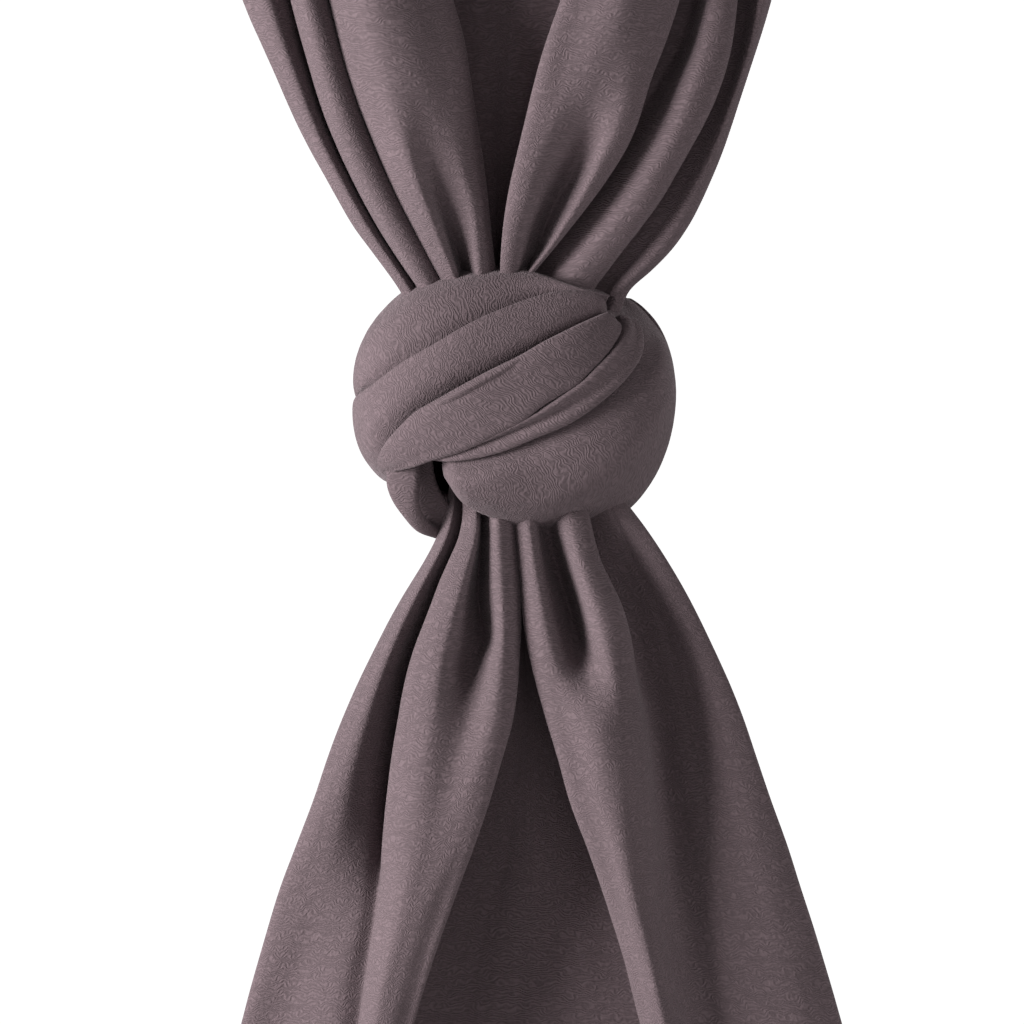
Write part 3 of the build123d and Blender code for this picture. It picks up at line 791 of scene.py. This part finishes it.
def strip(name, U, L, level=0.0, H=6.0, H0=None, H1=None, under=118, q=0.62, n=150, m=44, back=False, seed=1,
          creases=(), t=0.9, tip0=0.0, tip1=0.0, lift=None, wob=0.45, tilt=0.0):
    """A pleat of cloth lying on the knot between two curves: rounded across, its edges turned under."""
    cu, cl = curve_q(U, n), curve_q(L, n)
    a = np.radians(np.linspace(-under, under, m))
    s = 0.5 + 0.5 * np.sin(a)
    dip = np.where(np.abs(a) > np.pi / 2, 0.10 * (np.abs(a) - np.pi / 2), 0)
    s = s + np.sign(0.5 - s) * dip
    prof = np.sign(np.cos(a)) * np.abs(np.cos(a)) ** q
    prof = np.where(prof < 0, prof * 1.5, prof)
    uu = np.linspace(0, 1, n)
    h = np.full(n, float(H))
    if H0 is not None:
        h = H0 + (H - H0) * ramp(uu, 0, 0.3)
    if H1 is not None:
        h = h + (H1 - H) * ramp(uu, 0.7, 1.0)
    qq = cu[:, None] * (1 - s)[None, :, None] + cl[:, None] * s[None, :, None]
    P, nr = from_q(qq, back)
    lev = np.full(n, float(level))
    if lift is not None:
        lev = lev + cubic([x[0] for x in lift], [x[1] for x in lift], uu)
    if tip0:
        lev -= 9 * (1 - ramp(uu, 0, tip0)) ** 2
    rho = (np.abs(qq[..., 0]) ** PS + np.abs(qq[..., 1]) ** PS) ** (1 / PS)
    rim = -10.0 * ramp(rho, 0.74, 1.08) if back else 0.0
    if tip1:
        lev -= 9 * ramp(uu, 1 - tip1, 1) ** 2
    off = lev[:, None] + h[:, None] * prof[None, :] + tilt * (0.5 - s)[None, :] * 2 + rim
    for pos, depth, width, a0, a1 in creases:
        pos_u = pos if np.isscalar(pos) else np.interp(uu, np.linspace(0, 1, len(pos)), pos)
        d = (s[None, :] - np.reshape(pos_u, (-1, 1))) / width
        off -= depth * np.exp(-d ** 2) * (ramp(uu, a0, a0 + 0.2) * (1 - ramp(uu, a1 - 0.2, a1)))[:, None]
    P = P + nr * off[..., None]
    uvs = uv_of(P)
    P = P + nr * (wob * noise2(uvs[..., 0] * 70, uvs[..., 1] * 35, seed) + 0.25 * noise2(uvs[..., 0] * 160, uvs[..., 1] * 60, seed + 50))[..., None]
    P = smooth_grid(P, 1)
    if np.mean(np.sum(grid_normals(P) * nr, axis=2)) < 0:
        P = P[:, ::-1]
    ob = cloth(name, P, t)
    dress(ob, wrap_mat)
    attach(ob, "knot")
    return ob


def fold(name, guides, roll=(0, 0), n=170, m=7, seed=1, plunge=((0, 0), (0, 0)), extra=None, t=0.9, wob=0.35, creases=()):
    """A layer of cloth on the knot through guide curves (points, height), its outer edges rolled under by roll mm."""
    uu = np.linspace(0, 1, n)
    base, nrs = [], []
    for pts, h in guides:
        P, nr = from_q(curve_q(pts, n))
        hh = np.full(n, float(h)) if np.isscalar(h) else cubic(np.linspace(0, 1, len(h)), h, uu)
        if plunge[0][0]:
            hh = hh - plunge[0][0] * (1 - np.clip(uu / plunge[0][1], 0, 1)) ** 2
        if plunge[1][0]:
            hh = hh - plunge[1][0] * np.clip((uu - 1 + plunge[1][1]) / plunge[1][1], 0, 1) ** 2
        base.append(P + nr * hh[:, None])
        nrs.append(nr)

    def rolled(S, T, nr, r):
        d = T - S
        d -= nr * np.sum(d * nr, axis=1, keepdims=True)
        w = np.maximum(np.linalg.norm(d, axis=1, keepdims=True), 1e-6)
        d = d / w
        r1 = np.minimum(r, 0.55 * w)
        return [S + d * 1.5 * r1 - nr * r, S + d * 0.5 * r1 - nr * r, S + d * 0.13 * r1 - nr * 0.84 * r, S - nr * 0.5 * r,
                S + d * 0.12 * r1 - nr * 0.17 * r]
    cols = [(S + 0, 0) for S in base]
    ctrl = [S for S in base]
    if roll[0]:
        pre = rolled(base[0], base[1], nrs[0], roll[0])
        d = base[1] - base[0]
        w = np.maximum(np.linalg.norm(d, axis=1, keepdims=True), 1e-6)
        ctrl[0] = base[0] + d / w * np.minimum(0.5 * roll[0], 0.3 * w)
        ctrl = pre + ctrl
    if roll[1]:
        post = rolled(base[-1], base[-2], nrs[-1], roll[1])[::-1]
        d = base[-2] - base[-1]
        w = np.maximum(np.linalg.norm(d, axis=1, keepdims=True), 1e-6)
        ctrl[-1] = base[-1] + d / w * np.minimum(0.5 * roll[1], 0.3 * w)
        ctrl = ctrl + post
    P = through(np.stack(ctrl, axis=1), m)
    mid = nrs[len(nrs) // 2]
    nr = np.repeat(mid[:, None], P.shape[1], axis=1)
    uvs = uv_of(P)
    off = wob * noise2(uvs[..., 0] * 60, uvs[..., 1] * 30, seed) + 0.2 * noise2(uvs[..., 0] * 150, uvs[..., 1] * 70, seed + 50)
    if extra is not None:
        off = off + extra(P)
    P = smooth_grid(P + nr * off[..., None], 1)
    if np.mean(np.sum(grid_normals(P) * nr, axis=2)) < 0:
        P = P[:, ::-1]
    ob = cloth(name, P, t)
    dress(ob, wrap_mat)
    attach(ob, "knot")
    return ob


def shift(pts, du, dv):
    return [(p[0] + du, p[1] + dv) for p in pts]


L1 = [(316, 452), (334, 426), (357, 404), (380, 384.5), (405, 365), (440, 345), (480, 323), (520, 307.5), (557, 297.5), (582, 297),
      (600, 300.5), (612, 306)]
L2B = [(372, 522), (380, 497), (383, 473), (385, 458), (392, 441), (405, 426), (419, 413.5), (438, 402), (457, 391), (480, 378.5),
       (501, 368), (541, 347), (580, 328), (599, 320), (608, 316), (613, 313)]
L2 = [(383, 467), (385, 454), (393, 440), (405, 426), (419, 412.5), (438, 401), (457, 390), (480, 377.5), (501, 367), (520, 358),
      (541, 346), (559, 337), (580, 327), (599, 319), (612, 315)]
L3 = [(385, 470), (391, 471.5), (402, 468.5), (417, 465), (431, 460), (459, 452), (480, 443), (501, 432), (520, 423), (538, 409),
      (557, 397), (576, 386), (587, 374), (599, 362), (613, 344), (620, 329), (617, 317)]


def between(P, Q, f, k=12):
    """Grid points a fraction f of the way between two curves."""
    def along(c):
        c = np.array(c, float)
        q = np.concatenate([[0], np.cumsum(np.linalg.norm(np.diff(c, axis=0), axis=1))])
        return cubic(q / q[-1], c, np.linspace(0, 1, k))
    a, b = along(P), along(Q)
    return [tuple(x) for x in a * (1 - f) + b * f]


A = fold("knot_upper_left_lobe_cloth", [
    ([(300, 430), (302, 365), (326, 305), (368, 268), (412, 254), (461, 246), (505, 245), (548, 256), (588, 272), (622, 286)], 1.5),
    ([(322, 432), (328, 372), (350, 322), (384, 292), (419, 279.5), (461, 271), (503, 270), (541, 282), (575, 295), (604, 303)], [4.0, 4.4, 5.4, 5.4, 4.2, 4.0]),
    ([(334, 436), (346, 392), (374, 348), (404, 324), (440, 303), (478, 290), (512, 286), (545, 289), (577, 297), (604, 304)], 5.4),
    ([(338, 438), (352, 404), (376, 370), (406, 344), (441, 322), (478, 304), (512, 295), (545, 293), (577, 298), (604, 305)], [3.0, 3.0, 2.8, 2.6, 2.8, 3.2, 3.6]),
    ([(340, 440), (355, 402), (378, 381), (404, 361), (439, 341), (479, 319), (519, 303.5), (552, 297), (578, 299), (604, 306)], [-1.0, -1.4, -2.0, -2.2, -1.8, -1.0, 0.4]),
    ([(344, 444), (359, 409), (382, 389), (408, 370), (443, 350), (482, 328), (521, 313), (555, 303), (580, 303), (604, 308)], -4.5),
    ([(350, 450), (366, 420), (389, 400), (414, 381), (448, 361), (487, 339), (525, 323), (558, 311), (581, 308), (604, 310)], -6.0)],
    seed=2, n=180)
B = fold("knot_top_band_cloth", [
    (L1, [4.5, 4.5, 5.0, 5.4, 5.4, 5.4, 5.2, 4.6]),
    (between(L1, L2B, .28, 18), 5.0), (between(L1, L2B, .6, 18), [3.4, 3.6, 3.2, 2.6, 2.6, 2.6, 2.6]),
    (between(L1, L2B, .84, 18), [1.6, 1.0, -1.0, -1.6, -1.2, -0.8, -0.8]),
    (L2B, [-2.5, -3.5, -5.0, -5.0, -4.6, -4.4, -4.4]), (shift(L2B, 7, 7), -7.0)],
    roll=(5.0, 0), seed=3, n=200, plunge=((0, 0), (12, 0.05)))
C = fold("knot_middle_band_cloth", [
    (L2, [3.0, 5.6, 6.2, 6.2, 6.2, 6.0, 5.6, 5.0]),
    (between(L2, L3, .25), [3.0, 5.6, 6.2, 6.2, 6.2, 6.0, 5.6, 5.0]), (between(L2, L3, .55), [3, 4.8, 5.0, 5.0, 4.8, 4.6, 4.4, 4.2]),
    (between(L2, L3, .82), [2.6, 3.4, 3.4, 3.4, 3.2, 3.0, 3.0, 3.0]),
    (L3, [2.4, 2.6, 2.4, 2.2, 2.0, 2.0, 2.0, 2.0])],
    roll=(5.0, 4.2), seed=4, n=210, plunge=((7, 0.035), (12, 0.05)))
C2b = fold("knot_small_pleat_cloth", [
    ([(424, 413), (440, 403), (461, 391), (480, 380), (501, 369.5), (528, 355)], [3.5, 6.4, 7.4, 7.4, 6.6, 4.5]),
    ([(428, 415), (441, 405), (461, 394), (480, 383.5), (502, 372), (528, 356.5)], [4.0, 7.2, 8.3, 8.3, 7.2, 4.6]),
    ([(432, 417), (443, 409), (462, 398.5), (481, 387), (503, 375), (528, 358)], [3.5, 6.0, 6.8, 6.8, 6.0, 4.0])],
    roll=(2.2, 2.2), seed=5, n=100, m=5, wob=0.05)
L3R = [(615, 311), (617, 330), (612, 345), (599, 362), (587, 374), (576, 386), (557, 397.5), (538, 409.5), (520, 422), (500, 431),
       (475, 443), (445, 452), (418, 456)]
DR = [(619, 309), (625, 332), (615, 350), (602, 364), (586, 380), (565, 396), (545, 410), (527, 420), (502, 432), (477, 444), (448, 453),
      (420, 457.5)]
DC = [(622, 309), (632, 334), (627, 356), (613, 374), (596, 390), (571, 405), (541, 420), (514, 431), (490, 440.5), (468, 448),
      (444, 455), (422, 459)]
EE = [(626, 310), (636, 322), (641, 338), (640, 353), (631, 370), (608, 395), (573, 421), (536, 437.5), (508, 449), (484, 456),
      (464, 459.5), (446, 461), (427, 462)]
E = fold("knot_lower_band_cloth", [
    (shift(L3R, -5, -8), -5.5), (L3R, -3.0), (DR, [1.5, 3.2, 3.4, 3.2, 2.8, 2.0, 1.2, 0.4, 0.0]),
    (DC, [1.5, 2.4, 2.2, 1.2, 0.0, -1.0, -1.4, -1.4, -1.2]), (between(DC, EE, .5), [1.5, 2.6, 2.8, 2.6, 2.2, 2.0, 1.6, 1.0, 0.5]),
    (EE, [1.5, 2.2, 2.4, 2.4, 2.2, 2.0, 1.8, 1.4, 0.5])],
    roll=(0, 4.4), seed=7, n=190, plunge=((12, 0.07), (5, 0.1)))


def f_swell(P):
    """The lobe is fullest towards its left end."""
    u = P[..., 0] / 0.5 + 515
    v = -(P[..., 2] + 150) * 2
    return 3.4 * np.exp(-((u - 486) / 40.0) ** 2 - ((v - 474) / 22.0) ** 2) - 0.8 * np.exp(-((u - 652 - (v - 345) * .15) / 5.0) ** 2 - ((v - 345) / 26.0) ** 2)


F = fold("knot_lower_right_lobe_cloth", [
    ([(430, 440), (470, 442), (505, 436), (545, 420), (580, 400), (604, 380), (618, 358), (622, 338), (617, 320), (608, 303)], -6.5),
    ([(437, 459), (480, 454), (518, 442), (553, 427), (590, 407), (618, 382), (635, 356), (638, 338), (630, 318), (615, 299)], [-5.0, -5.0, -5.5, -6.0, -7.0, -7.0]),
    ([(439, 467), (483, 463), (523, 452), (559, 437), (597, 416), (629, 389), (648, 360), (651, 337), (642, 314), (626, 293)], [-0.5, -0.8, -1.2, -2.0, -3.0, -3.0]),
    ([(441, 474), (487, 474), (530, 466), (568, 452), (607, 430), (640, 399), (658, 364), (659, 333), (648, 308), (632, 288)], 2.6),
    ([(444, 481), (472, 491), (500, 496), (545, 496), (590, 478), (631, 446), (658, 408), (670, 366), (668, 329), (654, 301), (638, 282)], 4.4),
    ([(447, 488), (460, 499), (480, 510), (503, 517), (541, 527), (578, 526), (626, 501), (657, 463), (675, 396), (670, 348), (654, 316),
      (640, 294)], [0.0, 2.2, 4.4, 5.6, 2.6, 2.6, 4.2, 4.2, 4.2]),
    ([(450, 486), (463, 497), (484, 510), (508, 527), (545, 552), (592, 553), (645, 525), (686, 478), (706, 395), (700, 340), (682, 300),
      (662, 272)], [-7.0, -4.5, -1.0, 2.0, 1.0, 1.0, 2.0, 2.0, 2.0])],
    seed=8, n=200, plunge=((9, 0.05), (0, 0)), extra=f_swell)
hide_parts("knot_upper_left_lobe")
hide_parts("knot_top_band")
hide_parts("knot_middle_band")
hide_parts("knot_lower_band")
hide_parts("knot_lower_right_lobe")

# back turns of the knot
K1 = strip("knot_back_upper_wrap_cloth",
           [(318, 352), (345, 305), (400, 284), (460, 271), (520, 270), (585, 280), (640, 285), (690, 300)],
           [(315, 410), (360, 372), (420, 362), (500, 350), (580, 330), (640, 315), (690, 318)],
           level=-3.5, H=7, back=True, seed=9, n=150, m=50, creases=[(0.45, 2.2, 0.07, 0.1, 0.95)])
K2 = strip("knot_back_middle_wrap_cloth",
           [(312, 395), (360, 362), (430, 350), (520, 336), (600, 310), (660, 300), (715, 330)],
           [(318, 470), (370, 456), (430, 448), (510, 432), (590, 408), (660, 395), (722, 400)],
           level=-1.0, H=7, back=True, seed=10, n=150, m=54,
           creases=[(0.36, 2.6, 0.05, 0.0, 0.9), (0.68, 1.8, 0.06, 0.2, 1.0)])
K3 = strip("knot_back_lower_wrap_cloth",
           [(318, 450), (370, 440), (440, 434), (520, 420), (600, 398), (660, 385), (722, 390)],
           [(330, 520), (385, 504), (440, 515), (500, 522), (560, 522), (620, 508), (680, 480), (715, 440)],
           level=-3.5, H=7, back=True, seed=11, n=150, m=54, creases=[(0.5, 2.2, 0.07, 0.1, 0.9)])
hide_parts("knot_back_upper_wrap")
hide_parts("knot_back_middle_wrap")
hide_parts("knot_back_lower_wrap")

# hidden turns: a plain cloth bundle inside the knot
th = np.linspace(0, 2 * np.pi, 90)
ph = np.linspace(0.06, np.pi - 0.06, 60)
T, F2 = np.meshgrid(th, ph)
ring = 1 + 0.05 * np.sin(5 * T + 3 * F2)
core = np.stack([56 * np.cos(F2) * np.ones_like(T), 31 * ring * np.sin(F2) * np.cos(T), -350 + 40 * ring * np.sin(F2) * np.sin(T)], axis=2)
core_ob = dress(cloth("knot_core_cloth", core, 0.9), wrap_mat)
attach(core_ob, "knot")
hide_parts("knot_core")


def free_strip(name, U, L, H, under=115, q=0.7, n=90, m=36, seed=1, t=0.9):
    """Like strip, between two curves given as (u, v, y)."""
    def sample(c):
        p = np.array([(float(gx(a)), y, float(gz(b))) for a, b, y in c])
        s = np.concatenate([[0], np.cumsum(np.linalg.norm(np.diff(p, axis=0), axis=1))])
        return cubic(s / s[-1], p, np.linspace(0, 1, n))
    cu, cl = sample(U), sample(L)
    d = np.gradient((cu + cl) / 2, axis=0)
    across = cl - cu
    nr = np.cross(across, d)
    nr /= np.linalg.norm(nr, axis=1, keepdims=True)
    if nr[:, 1].mean() > 0:
        nr = -nr
    a = np.radians(np.linspace(-under, under, m))
    s = 0.5 + 0.5 * np.sin(a)
    prof = np.sign(np.cos(a)) * np.abs(np.cos(a)) ** q
    P = cu[:, None] * (1 - s)[None, :, None] + cl[:, None] * s[None, :, None] + nr[:, None] * (H * prof)[None, :, None]
    P = smooth_grid(P, 1)
    if np.mean(np.sum(grid_normals(P) * nr[:, None], axis=2)) < 0:
        P = P[:, ::-1]
    ob = dress(cloth(name, P, t), wrap_mat)
    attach(ob, "knot")
    return ob


G1 = free_strip("knot_tuck_loop_cloth",
                [(387, 450, -26), (387.5, 470, -27), (388.5, 487, -26), (394, 500, -24), (404, 514, -21), (414, 527, -17), (432, 533, -8)],
                [(419, 448, -31), (419, 468, -31), (418.5, 485, -30), (418, 499, -27), (420, 511, -23), (427, 521, -17), (444, 530, -8)],
                H=3.6, q=0.5, under=125, seed=31)
G2 = free_strip("knot_tuck_inner_cloth",
                [(410, 450, -18), (411, 472, -17), (412, 490, -15), (415, 506, -13), (422, 520, -10), (440, 534, -5)],
                [(431, 450, -20), (433, 472, -18), (437, 486, -16), (443, 497, -14), (452, 508, -11), (464, 520, -6)],
                H=2.6, q=0.5, under=125, seed=32)
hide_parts("knot_tuck_loop")

# ---------------------------------------------------------------- marker and label
lo, hi = (np.array(p) * 1000 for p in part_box("care_label"))
w = hi[0] - lo[0]
hgt = hi[2] - lo[2]
us = np.linspace(0, 1, 24)
vsn = np.linspace(0, 1, 36)
UU, VV = np.meshgrid(us, vsn)
lab = np.stack([lo[0] + UU * w, (lo[1] + hi[1]) / 2 - 2.2 * VV ** 2 * np.cos((UU - .5) * 1.6) + 0.8 * np.sin(VV * 3) * (UU - .4),
                hi[2] + 2.2 - VV * (hgt + 1.8)], axis=2)
label_ob = dress(cloth("blank_care_label", lab[::-1], 0.5), tape_mat)
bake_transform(label_ob)
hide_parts("care_label")

# label seam and middle marker
lo, hi = (np.array(p) * 1000 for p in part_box("label_stitching"))
n = 30
path = np.stack([np.linspace(lo[0], hi[0], n), np.full(n, lo[1] - 0.2), np.full(n, (lo[2] + hi[2]) / 2)], axis=1)
lseam = stitches("label_seam_stitches", path, np.tile([0.0, -1.0, 0.0], (n, 1)), pitch=2.6, length=1.8)
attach(lseam, "front_tails")
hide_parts("label_stitching")
lo, hi = (np.array(p) * 1000 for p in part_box("middle_marker"))
UU, VV = np.meshgrid(np.linspace(0, 1, 14), np.linspace(0, 1, 20))
mk = np.stack([lo[0] + UU * (hi[0] - lo[0]), UU * 0, lo[2] + VV * (hi[2] - lo[2])], axis=2)
near_mk = btail[(np.abs(btail - (lo + hi) / 2)[..., [0, 2]] < [14, 17]).all(axis=2) & (btail[..., 1] > 15)]
gap = (mk[:, :, None, 0] - near_mk[:, 0]) ** 2 + (mk[:, :, None, 2] - near_mk[:, 2]) ** 2
wt = np.exp(-gap / 8.0)
mk[:, :, 1] = (wt * near_mk[:, 1]).sum(axis=2) / wt.sum(axis=2) + 1.0 + 0.9 * (1 - VV) ** 2
mark_ob = dress(cloth("middle_marker_tab", mk[:, ::-1], 0.6), tape_mat)
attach(mark_ob, "back_tail")
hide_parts("middle_marker")

# ---------------------------------------------------------------- studio
def material_plain(name, col, emit=0.0, rough=0.8):
    m = bpy.data.materials.new(name)
    m.use_nodes = True
    b = m.node_tree.nodes["Principled BSDF"]
    b.inputs["Base Color"].default_value = (*col, 1)
    b.inputs["Roughness"].default_value = rough
    if emit:
        b.inputs["Emission Color"].default_value = (1, 1, 1, 1)
        b.inputs["Emission Strength"].default_value = emit
    return m


def plane(name, verts, mat):
    me = bpy.data.meshes.new(name)
    me.from_pydata(verts, [], [(0, 1, 2, 3)])
    ob = bpy.data.objects.new(name, me)
    ob.data.materials.append(mat)
    bpy.context.scene.collection.objects.link(ob)
    return ob


plane("floor", [(-17, -17, -1.0), (17, -17, -1.0), (17, 3, -1.0), (-17, 3, -1.0)], material_plain("floor_paper", (0.55, 0.55, 0.55)))
plane("backdrop", [(-60, 30, -4), (60, 30, -4), (60, 30, 50), (-60, 30, 50)], material_plain("backdrop_paper", (0.9, 0.9, 0.9), emit=1.02))

world = bpy.data.worlds.new("studio")
bpy.context.scene.world = world
world.use_nodes = True
bg = world.node_tree.nodes["Background"]
bg.inputs["Color"].default_value = (1, 1, 1, 1)
bg.inputs["Strength"].default_value = 0.05


def area_light(name, loc, target, size, power, size_y=None):
    li = bpy.data.lights.new(name, "AREA")
    li.energy = power
    li.size = size
    if size_y:
        li.shape = "RECTANGLE"
        li.size_y = size_y
    ob = bpy.data.objects.new(name, li)
    ob.location = loc
    d = Vector(target) - Vector(loc)
    ob.rotation_euler = d.to_track_quat("-Z", "Y").to_euler()
    bpy.context.scene.collection.objects.link(ob)
    return ob


area_light("key", (-2.18, -1.09, -0.05), (0, 0, -0.42), 1.15, 146, 1.15)
area_light("fill", (0.8, -2.8, 0.0), (0, 0, -0.4), 1.4, 10.0, 1.6)
area_light("rim", (2.5, -1.0, -0.4), (0, 0, -0.5), 1.2, 29, 1.6)

cam = bpy.data.cameras.new("camera")
cam_ob = bpy.data.objects.new("camera", cam)
bpy.context.scene.collection.objects.link(cam_ob)
cam.sensor_width = 36
dist = 6.0
cam.lens = 36 * dist / 0.512
cam.clip_end = 60
cam_ob.location = (-0.0015, -dist - 0.03, -0.406)
cam_ob.rotation_euler = (math.radians(90), 0, 0)
bpy.context.scene.camera = cam_ob
bpy.context.scene.view_settings.view_transform = "Standard"
bpy.context.scene.view_settings.look = "None"
